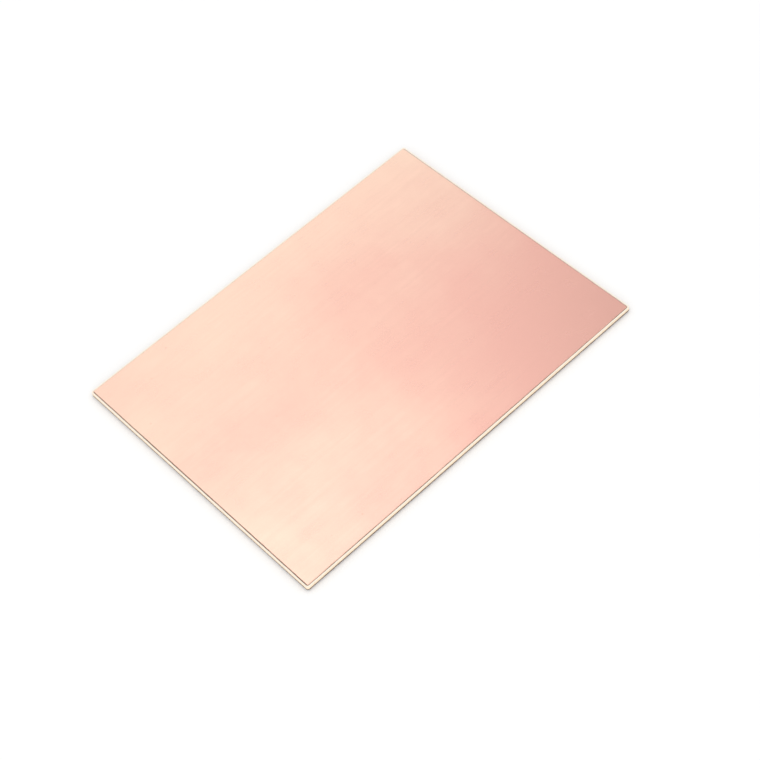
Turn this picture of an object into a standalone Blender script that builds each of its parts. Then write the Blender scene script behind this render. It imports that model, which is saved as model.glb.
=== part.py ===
"""Copper clad board: a glass-epoxy laminate sheet with copper foil bonded to its upper face.

The foil stops a little short of the cut edge, where a narrow rim of bare laminate lies just below it.
The board lies flat with its copper side up. The origin is under its centre, on the laminate's
bare underside. +X runs along the long side, +Y along the short side and +Z up through the foil.
All lengths are in metres.
"""

import math

import bmesh
import bpy

# Overall size of the cut board
BOARD_LENGTH = 0.100
BOARD_WIDTH = 0.075
BOARD_THICKNESS = 0.0015
CORNER_RADIUS = 0.0006

# Copper foil, 1 oz per square foot
FOIL_THICKNESS = 0.000035

# Bare rim round the bonded area, and how far it lies below the laminate's upper face
RIM_WIDTH = 0.00035
RIM_DROP = 0.00012
BOND_CORNER_RADIUS = 0.0004

# The cut draws the border of the bonded area down into a small round
ROLLOVER_RADIUS = 0.00025
ROLLOVER_SEGMENTS = 6

# The underside's edge is deburred
DEBURR_WIDTH = 0.0003

CORNER_SEGMENTS = 5
ROUND_PROFILE = 0.5
SHARP_ANGLE = math.radians(35.0)

# How close two heights are to count as one level
LEVEL_TOLERANCE = 0.000001

COPPER_COLOUR = (0.955, 0.638, 0.538, 1.0)
COPPER_ROUGHNESS = 0.35
LAMINATE_COLOUR = (0.90, 0.80, 0.60, 1.0)
LAMINATE_ROUGHNESS = 0.5

CORE_THICKNESS = BOARD_THICKNESS - FOIL_THICKNESS
RIM_LEVEL = CORE_THICKNESS - RIM_DROP

# The bonded area's blanks start inside the sheet, well below their rounded border
BOND_BASE = BOARD_THICKNESS / 2


def clear_scene():
    for obj in list(bpy.data.objects):
        bpy.data.objects.remove(obj, do_unlink=True)


def make_collection(name):
    collection = bpy.data.collections.new(name)
    bpy.context.scene.collection.children.link(collection)
    return collection


def make_material(name, colour, roughness, metallic):
    material = bpy.data.materials.new(name)
    material.use_nodes = True
    shader = material.node_tree.nodes["Principled BSDF"]
    shader.inputs["Base Color"].default_value = colour
    shader.inputs["Roughness"].default_value = roughness
    shader.inputs["Metallic"].default_value = metallic
    material.diffuse_color = colour
    return material


def add_object(name, mesh, material, collection):
    obj = bpy.data.objects.new(name, mesh)
    obj.data.materials.append(material)
    collection.objects.link(obj)
    return obj


def add_edge_round(obj, group_name, width, segments):
    """Rounds the edges whose two ends are both in the named vertex group."""
    bevel = obj.modifiers.new(group_name, "BEVEL")
    bevel.limit_method = "VGROUP"
    bevel.vertex_group = group_name
    bevel.offset_type = "OFFSET"
    bevel.width = width
    bevel.segments = segments
    bevel.profile = ROUND_PROFILE


def make_blank(name, inset, corner_radius, low, high):
    """Makes a block with rounded upright corners, set in from the board's outline, between two heights."""
    length = BOARD_LENGTH - 2 * inset
    width = BOARD_WIDTH - 2 * inset
    bm = bmesh.new()
    bmesh.ops.create_cube(bm, size=1.0)
    bmesh.ops.scale(bm, vec=(length, width, high - low), verts=bm.verts)
    bmesh.ops.translate(bm, vec=(0.0, 0.0, (low + high) / 2), verts=bm.verts)
    upright = [e for e in bm.edges if abs(e.verts[0].co.z - e.verts[1].co.z) > (high - low) / 2]
    bmesh.ops.bevel(
        bm,
        geom=upright,
        offset=corner_radius,
        offset_type="OFFSET",
        segments=CORNER_SEGMENTS,
        profile=ROUND_PROFILE,
        affect="EDGES",
    )
    mesh = bpy.data.meshes.new(name)
    bm.to_mesh(mesh)
    bm.free()
    return mesh


def group_level(obj, name, level):
    """Puts the vertices that lie at one height in a vertex group."""
    group = obj.vertex_groups.new(name=name)
    indices = [v.index for v in obj.data.vertices if abs(v.co.z - level) < LEVEL_TOLERANCE]
    group.add(indices, 1.0, "REPLACE")


def add_boolean(obj, name, operation, other):
    boolean = obj.modifiers.new(name, "BOOLEAN")
    boolean.operation = operation
    boolean.solver = "EXACT"
    boolean.object = other


def make_bond_area(collection):
    """Makes the raised area under the foil, with its rolled border; it is joined to the core."""
    blank = make_blank("bond_area", RIM_WIDTH, BOND_CORNER_RADIUS, BOND_BASE, CORE_THICKNESS)
    area = bpy.data.objects.new("bond_area", blank)
    collection.objects.link(area)
    group_level(area, "cut_rollover", CORE_THICKNESS)
    add_edge_round(area, "cut_rollover", ROLLOVER_RADIUS, ROLLOVER_SEGMENTS)
    area.display_type = "WIRE"
    area.hide_render = True
    return area


def make_core(bond_area, material, collection):
    blank = make_blank("laminate_core", 0.0, CORNER_RADIUS, 0.0, RIM_LEVEL)
    core = add_object("laminate_core", blank, material, collection)
    group_level(core, "underside_deburr", 0.0)
    add_edge_round(core, "underside_deburr", DEBURR_WIDTH, 1)
    add_boolean(core, "bond_area", "UNION", bond_area)
    return core


def make_foil(core, material, collection):
    """Lays the foil over the bonded area and its rolled border; its cut edge stands on the rim."""
    radius = BOND_CORNER_RADIUS + FOIL_THICKNESS
    blank = make_blank("copper_foil", RIM_WIDTH - FOIL_THICKNESS, radius, BOND_BASE, BOARD_THICKNESS)
    foil = add_object("copper_foil", blank, material, collection)
    group_level(foil, "cut_rollover", BOARD_THICKNESS)
    add_edge_round(foil, "cut_rollover", ROLLOVER_RADIUS + FOIL_THICKNESS, ROLLOVER_SEGMENTS)
    add_boolean(foil, "bonded_face", "DIFFERENCE", core)
    return foil


def main():
    clear_scene()
    board = make_collection("copper_clad_board")
    helpers = make_collection("helpers")
    laminate = make_material("laminate", LAMINATE_COLOUR, LAMINATE_ROUGHNESS, 0.0)
    copper = make_material("copper", COPPER_COLOUR, COPPER_ROUGHNESS, 1.0)
    core = make_core(make_bond_area(helpers), laminate, board)
    foil = make_foil(core, copper, board)
    for obj in (core, foil):
        obj.data.shade_smooth()
        obj.data.set_sharp_from_angle(angle=SHARP_ANGLE)


main()
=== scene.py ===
import math

import bpy
import numpy as np
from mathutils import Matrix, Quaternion, Vector


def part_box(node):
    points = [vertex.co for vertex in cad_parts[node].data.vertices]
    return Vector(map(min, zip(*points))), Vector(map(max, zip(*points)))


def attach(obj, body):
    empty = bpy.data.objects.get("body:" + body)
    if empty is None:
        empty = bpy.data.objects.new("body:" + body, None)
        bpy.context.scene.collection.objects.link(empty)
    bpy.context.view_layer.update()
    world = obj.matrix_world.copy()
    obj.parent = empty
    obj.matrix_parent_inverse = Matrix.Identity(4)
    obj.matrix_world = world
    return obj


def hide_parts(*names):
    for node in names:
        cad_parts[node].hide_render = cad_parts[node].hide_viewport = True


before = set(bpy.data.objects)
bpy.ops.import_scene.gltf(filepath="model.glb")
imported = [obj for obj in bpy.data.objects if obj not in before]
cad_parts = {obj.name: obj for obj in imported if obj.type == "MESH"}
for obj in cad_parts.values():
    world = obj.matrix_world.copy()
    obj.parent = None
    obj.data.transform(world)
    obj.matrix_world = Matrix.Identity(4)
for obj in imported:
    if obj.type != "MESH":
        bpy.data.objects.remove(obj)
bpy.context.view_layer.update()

MM = 0.001

# The board's own sizes in metres, from the frame and the part's named values
CORE_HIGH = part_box("laminate_core")[1]
FOIL_LOW, FOIL_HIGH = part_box("copper_foil")
HALF_X = CORE_HIGH.x
HALF_Y = CORE_HIGH.y
CORE_TOP = CORE_HIGH.z
FOIL_TOP = FOIL_HIGH.z
RIM_LEVEL = FOIL_LOW.z
FOIL_THICKNESS = FOIL_TOP - CORE_TOP
RIM_WIDTH = 0.00035
ROLLOVER_RADIUS = 0.00025
DEBURR_WIDTH = 0.0003

# Two borders, each a depth inside the board's outline and a corner radius: the cut edge and the bonded area
EDGE = (0.0, 0.0006)
BOND = (RIM_WIDTH, 0.0004)

# Mesh density: the length of a ring's step, its steps to one cell of a flat grid, its steps round a corner,
# and how far outside a flat grid the ring runs that the grid is joined to
FINE_STEP = 0.00024
COARSE_RATIO = 8
CORNER_STEPS = 8
PATCH_REACH = 0.00006

# Edges that turn by more than this are shaded sharp
SHARP_ANGLE = math.radians(40.0)

SEED = 20
WHITE = (1.0, 1.0, 1.0, 1.0)


def link(obj):
    bpy.context.scene.collection.objects.link(obj)
    return obj


# Outline and noise along it
class Outline:
    """The closed run of points that every ring of the board follows, and the coarse grid for its faces."""

    def __init__(self):
        self.cells_x = round(2 * HALF_X / (FINE_STEP * COARSE_RATIO))
        self.cells_y = round(2 * HALF_Y / (FINE_STEP * COARSE_RATIO))
        corners = [(1, -1), (1, 1), (-1, 1), (-1, -1)]
        cells = [self.cells_y, self.cells_x, self.cells_y, self.cells_x]
        corner_share, normal, self.side_start, self.side_steps = [], [], [], []
        for side, (start, count) in enumerate(zip(corners, cells)):
            end = corners[(side + 1) % 4]
            steps = count * COARSE_RATIO
            facing = side * math.pi / 2
            self.side_start.append(len(normal))
            self.side_steps.append(steps)
            for j in range(steps + 1):
                t = j / steps
                corner_share.append((start[0] + (end[0] - start[0]) * t, start[1] + (end[1] - start[1]) * t))
                normal.append((math.cos(facing), math.sin(facing)))
            for j in range(1, CORNER_STEPS):
                turn = facing + math.pi / 2 * j / CORNER_STEPS
                corner_share.append(end)
                normal.append((math.cos(turn), math.sin(turn)))
        self.corner_share = np.array(corner_share)
        self.normal = np.array(normal)
        self.count = len(normal)
        edge = self.points(EDGE, 0.0)
        gap = np.linalg.norm(np.roll(edge, -1, axis=0) - edge, axis=1)
        self.run = np.concatenate([[0.0], np.cumsum(gap)[:-1]])
        self.length = float(gap.sum())

    def corner_centre(self, border):
        return np.array([HALF_X, HALF_Y]) - sum(border)

    def points(self, border, inset):
        """Points at a distance inside a border; inset may differ from point to point."""
        reach = border[1] - np.broadcast_to(inset, (self.count,))
        return self.corner_share * self.corner_centre(border) + self.normal * reach[:, None]

    def noise(self, feature, seed):
        """Smooth random values from -1 to 1 along the closed outline, with bumps about one feature long."""
        knots = max(4, round(self.length / feature))
        values = np.random.default_rng(SEED + seed).uniform(-1.0, 1.0, knots)
        place = self.run / self.length * knots
        low = np.floor(place).astype(int)
        blend = place - low
        blend = blend * blend * (3 - 2 * blend)
        return values[low % knots] * (1 - blend) + values[(low + 1) % knots] * blend


OUTLINE = Outline()


class Shell:
    """Collects rings of points round the outline and the flat patches that close them."""

    def __init__(self):
        self.points = []
        self.faces = []
        self.last = None

    def add_points(self, xy, z):
        start = len(self.points)
        z = np.broadcast_to(z, (len(xy),))
        self.points.extend((float(p[0]), float(p[1]), float(h)) for p, h in zip(xy, z))
        return start

    def ring(self, border, inset, z):
        """Adds a ring and joins it to the ring before it, faces outwards as the rings go up."""
        start = self.add_points(OUTLINE.points(border, inset), z)
        if self.last is not None:
            n = OUTLINE.count
            for i in range(n):
                j = (i + 1) % n
                self.faces.append((self.last + i, self.last + j, start + j, start + i))
        self.last = start
        return start

    def patch_ring(self, border, z):
        """Adds the ring that a flat grid is joined to; it runs a hair outside the grid."""
        return self.ring(border, border[1] - PATCH_REACH, z)

    def patch(self, ring, border, z, up):
        """Fills a patch ring with a coarse flat grid."""
        nx, ny = OUTLINE.cells_x + 1, OUTLINE.cells_y + 1
        gx, gy = np.meshgrid(np.linspace(-1, 1, nx), np.linspace(-1, 1, ny), indexing="ij")
        xy = np.stack([gx.ravel(), gy.ravel()], axis=1) * OUTLINE.corner_centre(border)
        start = self.add_points(xy, z)

        def grid(i, j):
            return start + i * ny + j

        polygons = [
            (grid(i, j), grid(i + 1, j), grid(i + 1, j + 1), grid(i, j + 1))
            for i in range(nx - 1)
            for j in range(ny - 1)
        ]
        sides = [
            [grid(nx - 1, j) for j in range(ny)],
            [grid(i, ny - 1) for i in range(nx - 1, -1, -1)],
            [grid(0, j) for j in range(ny - 1, -1, -1)],
            [grid(i, 0) for i in range(nx)],
        ]
        for side, rim in enumerate(sides):
            first = ring + OUTLINE.side_start[side]
            for cell in range(len(rim) - 1):
                a = first + cell * COARSE_RATIO
                outer = [a + k for k in range(COARSE_RATIO + 1)]
                polygons.append((*outer, rim[cell + 1], rim[cell]))
            last = first + OUTLINE.side_steps[side]
            turn = [ring + (last - ring + k) % OUTLINE.count for k in range(CORNER_STEPS + 1)]
            polygons.append((*turn, rim[-1]))
        self.faces.extend(polygons if up else [tuple(reversed(p)) for p in polygons])

    def build(self, name):
        mesh = bpy.data.meshes.new(name)
        mesh.from_pydata(self.points, [], self.faces)
        mesh.validate()
        mesh.shade_smooth()
        mesh.set_sharp_from_angle(angle=SHARP_ANGLE)
        return link(bpy.data.objects.new(name, mesh))


# Pieces
DEBURR_SHARES = (0.0, 0.5, 1.0)
SIDE_ROWS = 24
RIM_ROWS = 4
FOIL_ROWS = 7
RIM_ROUND = 0.03 * MM
PLY_THICKNESS = 0.183 * MM

# How far each kind of relief reaches
PLY_RELIEF = 0.004 * MM
CUT_ROUGHNESS = 0.007 * MM
RIM_ROUGHNESS = 0.010 * MM
LIP_WANDER = 0.012 * MM
COARSE_SHARE = 0.7

# Bumps along the outline: the length of one, and the first seed of its random values
COARSE_BUMPS = (1.3 * MM, 1)
FINE_BUMPS = (0.35 * MM, 2)
SIDE_BUMPS = (0.4 * MM, 10)
RIM_BUMPS = (0.5 * MM, 50)
LONG_WANDER = (2.5 * MM, 31)
SHORT_WANDER = (0.6 * MM, 30)

# The gap left between the laminate and the foil over it
BOND_GAP = 0.004 * MM


def bumps(kind, row=0):
    """Random values from -1 to 1 along the outline, other ones for each row of a kind.

    What uses them adds 1 or 2 before it scales them, so that relief only ever takes material off.
    """
    length, first_seed = kind
    return OUTLINE.noise(length, first_seed + row)


def lip_wander():
    """How far the bonded area's border strays inwards along its run; the sheet and the foil share it."""
    return LIP_WANDER * (2 + bumps(LONG_WANDER) + bumps(SHORT_WANDER))


def lip_turn(radius):
    """The angle from straight up at which a round about the lip's centre meets the rim."""
    return math.acos((RIM_LEVEL - CORE_TOP + ROLLOVER_RADIUS) / radius)


def make_laminate():
    """The cut sheet: deburred underside edge, rough sides, a bare rim and the bonded area under the foil."""
    shell = Shell()
    coarse = bumps(COARSE_BUMPS)
    cut = CUT_ROUGHNESS * (2 + bumps(FINE_BUMPS))
    bottom = shell.patch_ring(EDGE, 0.0)
    for share in DEBURR_SHARES:
        shell.ring(EDGE, DEBURR_WIDTH * (1 - share) + cut + PLY_RELIEF, DEBURR_WIDTH * share)
    straight_top = RIM_LEVEL - RIM_ROUND
    for row in range(1, SIDE_ROWS):
        z = DEBURR_WIDTH + (straight_top - DEBURR_WIDTH) * row / SIDE_ROWS
        ply = PLY_RELIEF * (1 + math.cos(2 * math.pi * z / PLY_THICKNESS))
        shell.ring(EDGE, CUT_ROUGHNESS * (2 + COARSE_SHARE * coarse + bumps(SIDE_BUMPS, row)) + ply, z)
    shell.ring(EDGE, cut, straight_top)
    for row in range(RIM_ROWS):
        inset = RIM_ROUND + cut + (RIM_WIDTH - 2 * RIM_ROUND) * row / RIM_ROWS
        shell.ring(EDGE, inset, RIM_LEVEL - RIM_ROUGHNESS * (1 + bumps(RIM_BUMPS, row)))
    wander = lip_wander()
    for row in range(FOIL_ROWS, -1, -1):
        turn = lip_turn(ROLLOVER_RADIUS) * row / FOIL_ROWS
        inset = ROLLOVER_RADIUS * (1 - math.sin(turn)) + wander
        z = CORE_TOP - ROLLOVER_RADIUS * (1 - math.cos(turn))
        shell.ring(BOND, inset + BOND_GAP, z - BOND_GAP)
    top = shell.patch_ring(BOND, CORE_TOP - BOND_GAP)
    shell.patch(bottom, EDGE, 0.0, up=False)
    shell.patch(top, BOND, CORE_TOP - BOND_GAP, up=True)
    return shell.build("laminate_sheet")


def make_foil():
    """The foil: a thin sheet over the bonded area that follows its rolled border down to the rim."""
    shell = Shell()
    wander = lip_wander()
    centre = CORE_TOP - ROLLOVER_RADIUS
    outer = ROLLOVER_RADIUS + FOIL_THICKNESS
    under = shell.patch_ring(BOND, CORE_TOP)
    for row in range(FOIL_ROWS + 1):
        turn = lip_turn(ROLLOVER_RADIUS) * row / FOIL_ROWS
        inset = ROLLOVER_RADIUS * (1 - math.sin(turn)) + wander
        shell.ring(BOND, inset, centre + ROLLOVER_RADIUS * math.cos(turn))
    for row in range(FOIL_ROWS, -1, -1):
        turn = lip_turn(outer) * row / FOIL_ROWS
        shell.ring(BOND, ROLLOVER_RADIUS - outer * math.sin(turn) + wander, centre + outer * math.cos(turn))
    top = shell.patch_ring(BOND, FOIL_TOP)
    shell.patch(under, BOND, CORE_TOP, up=False)
    shell.patch(top, BOND, FOIL_TOP, up=True)
    return shell.build("copper_face")


# Half the height of a cloud, so tall that it doesn't change over the board's thickness
CLOUD_HEIGHT = 1000.0


# Shader node helpers
class Nodes:
    """Adds nodes to a tree; an input is a socket, a number or a vector."""

    def __init__(self, tree):
        self.tree = tree

    def add(self, kind, inputs=None, **settings):
        node = self.tree.nodes.new(kind)
        for name, value in settings.items():
            setattr(node, name, value)
        for key, value in (inputs or {}).items():
            self.set(node.inputs[key], value)
        return node

    def set(self, socket, value):
        if isinstance(value, bpy.types.NodeSocket):
            self.tree.links.new(value, socket)
        else:
            socket.default_value = value

    def math(self, operation, a, b=0.0):
        return self.add("ShaderNodeMath", {0: a, 1: b}, operation=operation).outputs[0]

    def total(self, value, *others):
        for other in others:
            value = self.math("ADD", value, other)
        return value

    def product(self, value, *others):
        for other in others:
            value = self.math("MULTIPLY", value, other)
        return value

    def swing(self, value, reach):
        """A value from 0 to 1 turned into one from minus to plus half the reach."""
        return self.product(self.math("SUBTRACT", value, 0.5), reach)

    def wave(self, value, length):
        """A sine wave, from -1 to 1, of the given length."""
        return self.math("SINE", self.product(value, 2 * math.pi / length))

    def ramp(self, value, span, levels=(0.0, 1.0)):
        """A smooth change from one level to the other as the value crosses the span."""
        inputs = {
            "Value": value,
            "From Min": span[0],
            "From Max": span[1],
            "To Min": levels[0],
            "To Max": levels[1],
        }
        return self.add("ShaderNodeMapRange", inputs, interpolation_type="SMOOTHSTEP").outputs["Result"]

    def fade(self, value, span, level=1.0):
        """The level below the span, and nothing above it."""
        return self.ramp(value, span, (level, 0.0))

    def mix(self, factor, a, b):
        node = self.add("ShaderNodeMix", data_type="RGBA")
        self.set(node.inputs[0], factor)
        self.set(node.inputs[6], a)
        self.set(node.inputs[7], b)
        return node.outputs[2]

    def noise(self, vector, scale, detail=2.0, roughness=0.5, distortion=0.0):
        inputs = {
            "Vector": vector,
            "Scale": scale,
            "Detail": detail,
            "Roughness": roughness,
            "Distortion": distortion,
        }
        return self.add("ShaderNodeTexNoise", inputs).outputs["Fac"]

    def cloud(self, vector, centre, size, turn):
        """One in the middle of a turned oval in the x-y plane, fading to nothing at its border."""
        node = self.add("ShaderNodeMapping", {"Vector": vector}, vector_type="TEXTURE")
        node.inputs["Location"].default_value = (*centre, 0.0)
        node.inputs["Rotation"].default_value = (0.0, 0.0, math.radians(turn))
        node.inputs["Scale"].default_value = (*size, CLOUD_HEIGHT)
        away = self.add("ShaderNodeVectorMath", {0: node.outputs["Vector"]}, operation="LENGTH")
        return self.fade(away.outputs["Value"], (0.0, 1.0))

    def split(self, vector):
        return self.add("ShaderNodeSeparateXYZ", {0: vector}).outputs

    def stretch(self, vector, scale, turn=0.0):
        inputs = {"Vector": vector, "Rotation": (0.0, 0.0, math.radians(turn)), "Scale": scale}
        return self.add("ShaderNodeMapping", inputs).outputs["Vector"]

    def bump(self, height, strength, distance):
        inputs = {"Strength": strength, "Distance": distance, "Height": height}
        return self.add("ShaderNodeBump", inputs).outputs["Normal"]


def new_material(name):
    material = bpy.data.materials.new(name)
    material.use_nodes = True
    tree = material.node_tree
    return material, Nodes(tree), tree.nodes["Principled BSDF"]


def millimetres(nodes):
    """Object coordinates in millimetres, so that every texture scale reads as features per millimetre."""
    where = nodes.add("ShaderNodeTexCoord").outputs["Object"]
    return nodes.stretch(where, (1 / MM, 1 / MM, 1 / MM))


# Copper. Colours are linear. Lengths are in millimetres, except the depth of a bump, which is in metres.
# Texture scales are in features per millimetre.
COPPER_PALE = (0.970, 0.700, 0.555, 1.0)
COPPER_PINK = (0.913, 0.510, 0.431, 1.0)
COPPER_DEEP = (0.720, 0.400, 0.320, 1.0)
COPPER_BORDER = (0.170, 0.100, 0.056, 1.0)

# A painted reflection, a drift from pale, lighter copper to pink across the board: per millimetre of x and of
# y, and per square millimetre of x times y
PAINTED_REFLECTION_X = 0.0045
PAINTED_REFLECTION_Y = -0.009
PAINTED_REFLECTION_XY = -0.00016

# The sums of painted reflection, clouds and noise at which the copper is all pale and all pink
HUE_SPAN = (-0.515, 0.485)

# Clouds at their places: centre x and y, half sizes, turn in degrees, share of pink
COPPER_CLOUDS = [
    ((15.0, 18.0), (25.0, 47.0), 142.0, 0.18),
    ((-5.0, -24.0), (26.0, 52.0), 32.0, -0.17),
    ((-29.0, -1.0), (33.0, 14.0), -14.0, 0.20),
]

# Noise all over the copper: texture scale, then share of pink
CLOUD_SCALE = 0.052
CLOUD_PINK = 0.38
MOTTLE_SCALE = 0.21
MOTTLE_PINK = 0.12
BLOTCH_SCALE = 0.55
BLOTCH_PINK = 0.07
GRAIN_SCALE = 6.5

# Rolling streaks: texture scales along x, y and z, turn in degrees, the noise that shows, and its tint
STREAK_SCALE = (0.035, 1.7, 1.0)
STREAK_TURN = 2.0
STREAK_SPAN = (0.3, 0.7)
STREAK_TINT = 0.05

# Specks: cells to a millimetre, a speck's soft border in shares of a cell, its tint, and the share of cells
# left clean
SPECK_SCALE = 0.24
SPECK_SPAN = (0.03, 0.07)
SPECK_TINT = 0.35
SPECK_CLEAN = 0.72

# Heights between which the foil turns darker and rougher towards its cut border, which is ragged and in
# places fainter
BORDER_SPAN = (FOIL_TOP / MM - 0.055, FOIL_TOP / MM - 0.012)
BORDER_RAGGED_SCALE = 2.5
BORDER_RAGGED_REACH = 0.03
BORDER_FAINT_SCALE = 0.22
BORDER_FAINT_SPAN = (0.36, 0.56)
BORDER_FAINT_LEVELS = (0.65, 1.0)

# Roughness of clean copper, and what each texture adds
COPPER_ROUGHNESS = 0.19
MOTTLE_ROUGHNESS = 0.06
GRAIN_ROUGHNESS = 0.05
STREAK_ROUGHNESS = 0.03
BORDER_ROUGHNESS = 0.15

# Relief of the fine grain
GRAIN_BUMP_STRENGTH = 0.2
GRAIN_BUMP_DEPTH = 0.003 * MM


def make_copper():
    """Satin copper with a painted reflection that drifts from pale to pink, with clouds, streaks, specks and
    a darker, rougher cut border.
    """
    material, nodes, shader = new_material("copper")
    where = millimetres(nodes)
    x, y, z = nodes.split(where)
    clouds = nodes.noise(where, CLOUD_SCALE, detail=1.5, roughness=0.4, distortion=0.2)
    mottle = nodes.noise(where, MOTTLE_SCALE, detail=3.0, roughness=0.45)
    blotches = nodes.noise(where, BLOTCH_SCALE)
    streaks = nodes.noise(nodes.stretch(where, STREAK_SCALE, turn=STREAK_TURN), 1.0, detail=3.0)
    grain = nodes.noise(where, GRAIN_SCALE)

    # A painted reflection drifts across the board from pale to pink; clouds and noise add the copper's own
    # tint
    tint_and_painted_reflection = nodes.total(
        nodes.product(x, y, PAINTED_REFLECTION_XY),
        nodes.product(x, PAINTED_REFLECTION_X),
        nodes.product(y, PAINTED_REFLECTION_Y),
        nodes.swing(clouds, CLOUD_PINK),
        nodes.swing(mottle, MOTTLE_PINK),
        nodes.swing(blotches, BLOTCH_PINK),
    )
    for centre, size, turn, share in COPPER_CLOUDS:
        tint_and_painted_reflection = nodes.total(tint_and_painted_reflection, nodes.product(nodes.cloud(where, centre, size, turn), share))
    colour = nodes.mix(nodes.ramp(tint_and_painted_reflection, HUE_SPAN), COPPER_PALE, COPPER_PINK)
    colour = nodes.mix(nodes.ramp(streaks, STREAK_SPAN, (0.0, STREAK_TINT)), colour, COPPER_DEEP)

    cells = nodes.add("ShaderNodeTexVoronoi", {"Vector": where, "Scale": SPECK_SCALE})
    picked = nodes.math("GREATER_THAN", nodes.split(cells.outputs["Color"])[0], SPECK_CLEAN)
    speck = nodes.product(nodes.fade(cells.outputs["Distance"], SPECK_SPAN, SPECK_TINT), picked)
    colour = nodes.mix(speck, colour, COPPER_DEEP)

    ragged = nodes.total(z, nodes.product(nodes.noise(where, BORDER_RAGGED_SCALE), BORDER_RAGGED_REACH))
    faint = nodes.ramp(nodes.noise(where, BORDER_FAINT_SCALE), BORDER_FAINT_SPAN, BORDER_FAINT_LEVELS)
    border = nodes.product(nodes.fade(ragged, BORDER_SPAN), faint)
    colour = nodes.mix(border, colour, COPPER_BORDER)

    rough = nodes.total(
        nodes.product(mottle, MOTTLE_ROUGHNESS),
        nodes.product(grain, GRAIN_ROUGHNESS),
        nodes.product(streaks, STREAK_ROUGHNESS),
        nodes.product(border, BORDER_ROUGHNESS),
        COPPER_ROUGHNESS,
    )
    nodes.set(shader.inputs["Base Color"], colour)
    nodes.set(shader.inputs["Metallic"], 1.0)
    nodes.set(shader.inputs["Roughness"], rough)
    nodes.set(shader.inputs["Normal"], nodes.bump(grain, GRAIN_BUMP_STRENGTH, GRAIN_BUMP_DEPTH))
    return material


# Glass epoxy, in the same units as the copper
LAMINATE_PALE = (0.985, 0.825, 0.625, 1.0)
LAMINATE_SHADE = (0.930, 0.745, 0.535, 1.0)
LAMINATE_RIM = (0.990, 0.900, 0.770, 1.0)
LAMINATE_WEAVE = (0.800, 0.640, 0.410, 1.0)
# The colour of the painted contact shadow along the sides' lower edge
LAMINATE_PAINTED_SHADOW = (0.100, 0.034, 0.012, 1.0)

# Plies on the cut sides: how they wander and how much they show beside the fibre ends that break them up
PLY_WANDER_SCALE = 0.7
PLY_WANDER_REACH = 0.05
PLY_DEPTH = 0.09
FIBRE_SCALE = 1.7
FIBRE_STRETCH = (1.0, 1.0, 5.0)
LAYER_SPAN = (0.32, 0.62)

# Heights between which the side gives way to the paler rim
RIM_PALE_SPAN = (RIM_LEVEL / MM - 0.055, RIM_LEVEL / MM - 0.010)
RIM_PALE_SHARE = 0.9

# The painted contact shadow along the lower edge: its fading heights, how far in from the outline it starts
# and is full, its ragged upper limit, and the slow drift of that limit along the side
PAINTED_SHADOW_SPAN = (0.42, 0.84)
PAINTED_SHADOW_LEVEL = 0.97
PAINTED_SHADOW_DEPTH = 0.40
PAINTED_SHADOW_ONSET = (0.0, 0.12)
PAINTED_SHADOW_RAGGED = 0.12
PAINTED_SHADOW_DRIFT_SCALE = 0.16
PAINTED_SHADOW_DRIFT = 0.25

# The glass cloth seen through the underside: its yarns' pitch and sway, and where it shows more or less
WARP_PITCH = 0.58
WEFT_PITCH = 0.82
SWAY_SCALE = 0.12
SWAY_REACH = 2.4
UNDER_SPAN = (0.0, 0.02)
CROSSING_SPAN = (-0.7, 0.7)
WEAVE_SCALE = 0.35
WEAVE_SPAN = (0.3, 0.7)
WEAVE_LEVELS = (0.25, 0.75)
WEAVE_BUMP_STRENGTH = 0.5
WEAVE_BUMP_DEPTH = 0.012 * MM

# Roughness of the cut sides and of the pressed underside
CUT_SIDE_ROUGHNESS = 0.55
UNDERSIDE_ROUGHNESS = 0.32
LAMINATE_SPECULAR = 0.3


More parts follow.
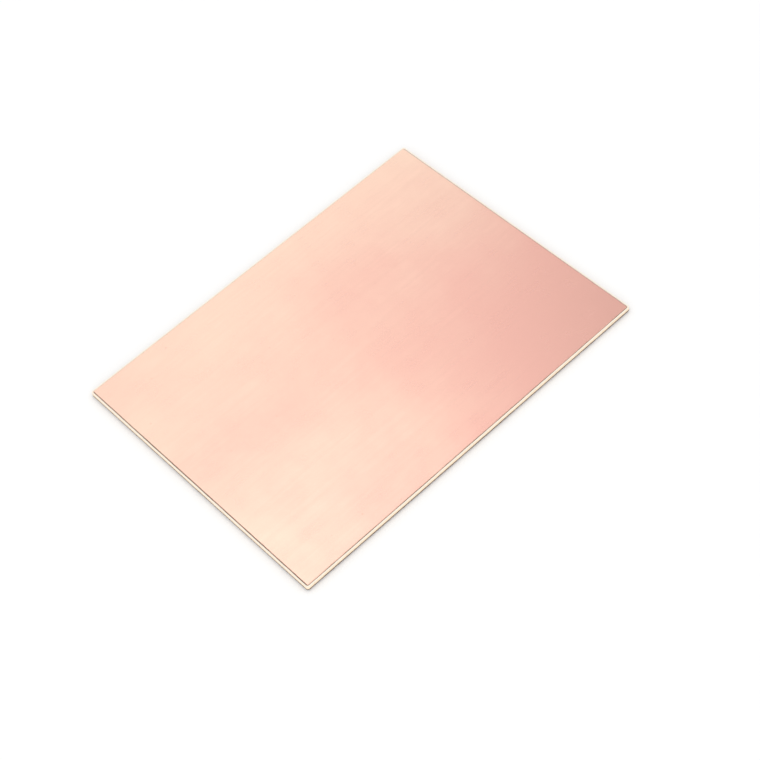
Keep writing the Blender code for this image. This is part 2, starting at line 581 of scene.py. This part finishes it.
def make_glass_epoxy():
    """Cured epoxy over woven glass: plies on the cut sides, a painted contact shadow along their lower edge,
    the cloth's weave on the bare underside.
    """
    material, nodes, shader = new_material("glass_epoxy")
    where = millimetres(nodes)
    x, y, z = nodes.split(where)

    wander = nodes.product(nodes.noise(where, PLY_WANDER_SCALE), PLY_WANDER_REACH)
    ply = nodes.wave(nodes.total(z, wander), PLY_THICKNESS / MM)
    fibre = nodes.noise(nodes.stretch(where, FIBRE_STRETCH), FIBRE_SCALE, detail=3.0)
    layer = nodes.total(nodes.product(ply, PLY_DEPTH), fibre)
    colour = nodes.mix(nodes.ramp(layer, LAYER_SPAN), LAMINATE_SHADE, LAMINATE_PALE)
    colour = nodes.mix(nodes.ramp(z, RIM_PALE_SPAN, (0.0, RIM_PALE_SHARE)), colour, LAMINATE_RIM)

    # The sides darken towards their lower edge with a painted contact shadow, ragged along its upper limit
    past_x = nodes.math("SUBTRACT", nodes.math("ABSOLUTE", x), HALF_X / MM - PAINTED_SHADOW_DEPTH)
    past_y = nodes.math("SUBTRACT", nodes.math("ABSOLUTE", y), HALF_Y / MM - PAINTED_SHADOW_DEPTH)
    border = nodes.ramp(nodes.math("MAXIMUM", past_x, past_y), PAINTED_SHADOW_ONSET)
    drift = nodes.swing(nodes.noise(where, PAINTED_SHADOW_DRIFT_SCALE), PAINTED_SHADOW_DRIFT)
    ragged = nodes.total(z, nodes.swing(fibre, PAINTED_SHADOW_RAGGED), drift)
    painted_shadow = nodes.product(nodes.fade(ragged, PAINTED_SHADOW_SPAN, PAINTED_SHADOW_LEVEL), border)
    colour = nodes.mix(painted_shadow, colour, LAMINATE_PAINTED_SHADOW)

    sway = nodes.product(nodes.noise(where, SWAY_SCALE), SWAY_REACH)
    warp = nodes.wave(nodes.total(x, sway), 2 * WARP_PITCH)
    weft = nodes.wave(nodes.total(y, sway), 2 * WEFT_PITCH)
    crossing = nodes.product(warp, weft)
    under = nodes.product(nodes.fade(z, UNDER_SPAN), nodes.math("SUBTRACT", 1.0, border))
    depth = nodes.ramp(nodes.noise(where, WEAVE_SCALE, detail=3.0), WEAVE_SPAN, WEAVE_LEVELS)
    shade = nodes.product(nodes.ramp(crossing, CROSSING_SPAN), under, depth)
    colour = nodes.mix(shade, colour, LAMINATE_WEAVE)

    rough = nodes.ramp(under, (0.0, 1.0), (CUT_SIDE_ROUGHNESS, UNDERSIDE_ROUGHNESS))
    relief = nodes.bump(nodes.product(crossing, under), WEAVE_BUMP_STRENGTH, WEAVE_BUMP_DEPTH)
    nodes.set(shader.inputs["Base Color"], colour)
    nodes.set(shader.inputs["Roughness"], rough)
    nodes.set(shader.inputs["Specular IOR Level"], LAMINATE_SPECULAR)
    nodes.set(shader.inputs["Normal"], relief)
    return material


# Camera, fitted to the photographed outline
CAMERA_AZIMUTH = math.radians(-34.601)
CAMERA_ELEVATION = math.radians(53.882)
CAMERA_ROLL = math.radians(-10.790)
CAMERA_DISTANCE = 0.41831
CAMERA_AIM = Vector((-0.002759, -0.009841, 0.0015))
CAMERA_LENS = 87.85
CAMERA_SENSOR = 36.0
CAMERA_CLIP_START = 0.01
CAMERA_CLIP_END = 20.0


def make_camera():
    data = bpy.data.cameras.new("camera")
    data.lens = CAMERA_LENS
    data.sensor_width = CAMERA_SENSOR
    data.clip_start = CAMERA_CLIP_START
    data.clip_end = CAMERA_CLIP_END
    camera = link(bpy.data.objects.new("camera", data))
    level = math.cos(CAMERA_ELEVATION)
    back = Vector((
        math.sin(CAMERA_AZIMUTH) * level,
        -math.cos(CAMERA_AZIMUTH) * level,
        math.sin(CAMERA_ELEVATION),
    ))
    camera.location = CAMERA_AIM + back * CAMERA_DISTANCE
    camera.rotation_mode = "QUATERNION"
    roll = Quaternion((0.0, 0.0, 1.0), CAMERA_ROLL)
    camera.rotation_quaternion = (-back).to_track_quat("-Z", "Y") @ roll
    bpy.context.scene.camera = camera


# Floor; the lift is what the camera and mirrors see on top of the lit colour
FLOOR_COLOUR = (0.97, 0.97, 0.97, 1.0)
FLOOR_ROUGHNESS = 0.9
FLOOR_LIFT = 0.03
FLOOR_REACH = 3.0

# A hair above the board's underside, so that a view from below shows the board and not the floor
FLOOR_LEVEL = 0.00001


def make_floor():
    material, nodes, shader = new_material("floor")
    path = nodes.add("ShaderNodeLightPath").outputs
    seen = nodes.math("MAXIMUM", path["Is Camera Ray"], path["Is Glossy Ray"])
    nodes.set(shader.inputs["Base Color"], FLOOR_COLOUR)
    nodes.set(shader.inputs["Roughness"], FLOOR_ROUGHNESS)
    nodes.set(shader.inputs["Specular IOR Level"], 0.0)
    nodes.set(shader.inputs["Emission Color"], WHITE)
    nodes.set(shader.inputs["Emission Strength"], nodes.product(seen, FLOOR_LIFT))
    mesh = bpy.data.meshes.new("floor")
    corners = [(-1, -1), (1, -1), (1, 1), (-1, 1)]
    points = [(x * FLOOR_REACH, y * FLOOR_REACH, FLOOR_LEVEL) for x, y in corners]
    mesh.from_pydata(points, [], [(0, 1, 2, 3)])
    floor = link(bpy.data.objects.new("floor", mesh))
    floor.data.materials.append(material)


# Strength of the world as light, and what it gains towards the horizon
WORLD_FILL = 0.96
HORIZON_LIFT = 0.12
HORIZON_SPAN = (0.0, 0.5)

# The room that the copper mirrors: its plain level, and what each shade takes from it. A span is a range of
# x, y or z of the direction looked in. Left, right and behind are as seen from the front, looking along +Y.
MIRROR_LEVEL = 1.095

# Low walls all round
WALL_SHADE = 0.20
WALL_SPAN = (0.22, 0.58)

# Both panels stand behind the board, between these
PANEL_NEAR_SPAN = (0.08, 0.30)
PANEL_FAR_SPAN = (0.66, 0.86)

# The panel high on the left
HIGH_SHADE = 0.96
HIGH_SIDE_SPAN = (-0.20, 0.14)
HIGH_FOOT_SPAN = (0.50, 0.66)
HIGH_HEAD_SPAN = (0.93, 0.985)

# The panel low on the right
LOW_SHADE = 0.60
LOW_SIDE_SPAN = (0.18, 0.75)
LOW_HEAD_SPAN = (0.36, 0.50)

# A shade over the room's right-hand part, past a slanting line: x less the slope times y
CORNER_SHADE = 0.54
CORNER_SLOPE = 1.68
CORNER_SLANT_SPAN = (-0.33, -0.26)
CORNER_NEAR_SPAN = (0.01, 0.07)
CORNER_FOOT_SPAN = (0.45, 0.62)


def make_mirrored_level(nodes):
    """Brightness of the room in the board's reflections, by the direction looked in."""
    x, y, z = nodes.split(nodes.add("ShaderNodeTexCoord").outputs["Generated"])
    high = nodes.product(
        nodes.fade(x, HIGH_SIDE_SPAN, HIGH_SHADE),
        nodes.ramp(z, HIGH_FOOT_SPAN),
        nodes.fade(z, HIGH_HEAD_SPAN),
    )
    low = nodes.product(nodes.ramp(x, LOW_SIDE_SPAN), nodes.fade(z, LOW_HEAD_SPAN, LOW_SHADE))
    behind = nodes.product(nodes.ramp(y, PANEL_NEAR_SPAN), nodes.fade(y, PANEL_FAR_SPAN))
    panels = nodes.product(nodes.total(high, low), behind)
    slant = nodes.math("SUBTRACT", x, nodes.product(y, CORNER_SLOPE))
    corner = nodes.product(
        nodes.ramp(slant, CORNER_SLANT_SPAN, (0.0, CORNER_SHADE)),
        nodes.ramp(y, CORNER_NEAR_SPAN),
        nodes.ramp(z, CORNER_FOOT_SPAN),
    )
    shade = nodes.total(panels, corner, nodes.fade(z, WALL_SPAN, WALL_SHADE))
    return nodes.math("SUBTRACT", MIRROR_LEVEL, nodes.math("MINIMUM", shade, MIRROR_LEVEL))


def make_light_level(nodes):
    """Brightness of the room as light on the board: even, and a little higher towards the horizon."""
    z = nodes.split(nodes.add("ShaderNodeTexCoord").outputs["Generated"])[2]
    lift = nodes.fade(nodes.math("ABSOLUTE", z), HORIZON_SPAN, HORIZON_LIFT)
    return nodes.total(lift, WORLD_FILL)


def make_world():
    """A white room: one level as light, another in the copper's reflections, plain white to the camera."""
    world = bpy.data.worlds.new("studio")
    bpy.context.scene.world = world
    world.use_nodes = True
    tree = world.node_tree
    tree.nodes.clear()
    nodes = Nodes(tree)

    def white(strength):
        return nodes.add("ShaderNodeBackground", {"Color": WHITE, "Strength": strength}).outputs[0]

    def choose(share, first, second):
        return nodes.add("ShaderNodeMixShader", {0: share, 1: first, 2: second}).outputs[0]

    path = nodes.add("ShaderNodeLightPath").outputs
    reflected = nodes.math("MAXIMUM", path["Is Glossy Ray"], path["Is Transmission Ray"])
    lit = choose(reflected, white(make_light_level(nodes)), white(make_mirrored_level(nodes)))
    shown = choose(path["Is Camera Ray"], lit, white(1.0))
    nodes.add("ShaderNodeOutputWorld", {"Surface": shown})


def add_softbox(name, direction, distance, size, power):
    """An area lamp that faces the board from a direction."""
    data = bpy.data.lights.new(name, "AREA")
    data.shape = "RECTANGLE"
    data.size, data.size_y = size
    data.energy = power
    light = link(bpy.data.objects.new(name, data))
    toward = Vector(direction).normalized()
    light.location = toward * distance
    light.rotation_mode = "QUATERNION"
    light.rotation_quaternion = (-toward).to_track_quat("-Z", "Y")
    return light


# Lamps: the direction they stand in from the board, distance, width and height, and watts
KEY_SOFTBOX = {"direction": (0.20, 0.27, 0.94), "distance": 1.0, "size": (0.42, 0.42), "power": 0.26}
FRONT_SOFTBOX = {"direction": (-0.62, -0.70, 0.34), "distance": 0.9, "size": (0.8, 0.5), "power": 1.0}


def make_lights():
    """A key light high above the board, and a wide one in front that the copper doesn't mirror."""
    add_softbox("key_softbox", **KEY_SOFTBOX)
    front = add_softbox("front_softbox", **FRONT_SOFTBOX)
    front.visible_glossy = False


laminate = make_laminate()
laminate.data.materials.append(make_glass_epoxy())
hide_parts("laminate_core")
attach(laminate, "root")

foil = make_foil()
foil.data.materials.append(make_copper())
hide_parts("copper_foil")
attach(foil, "root")

make_camera()
make_floor()
make_world()
make_lights()
bpy.context.scene.view_settings.view_transform = "Standard"
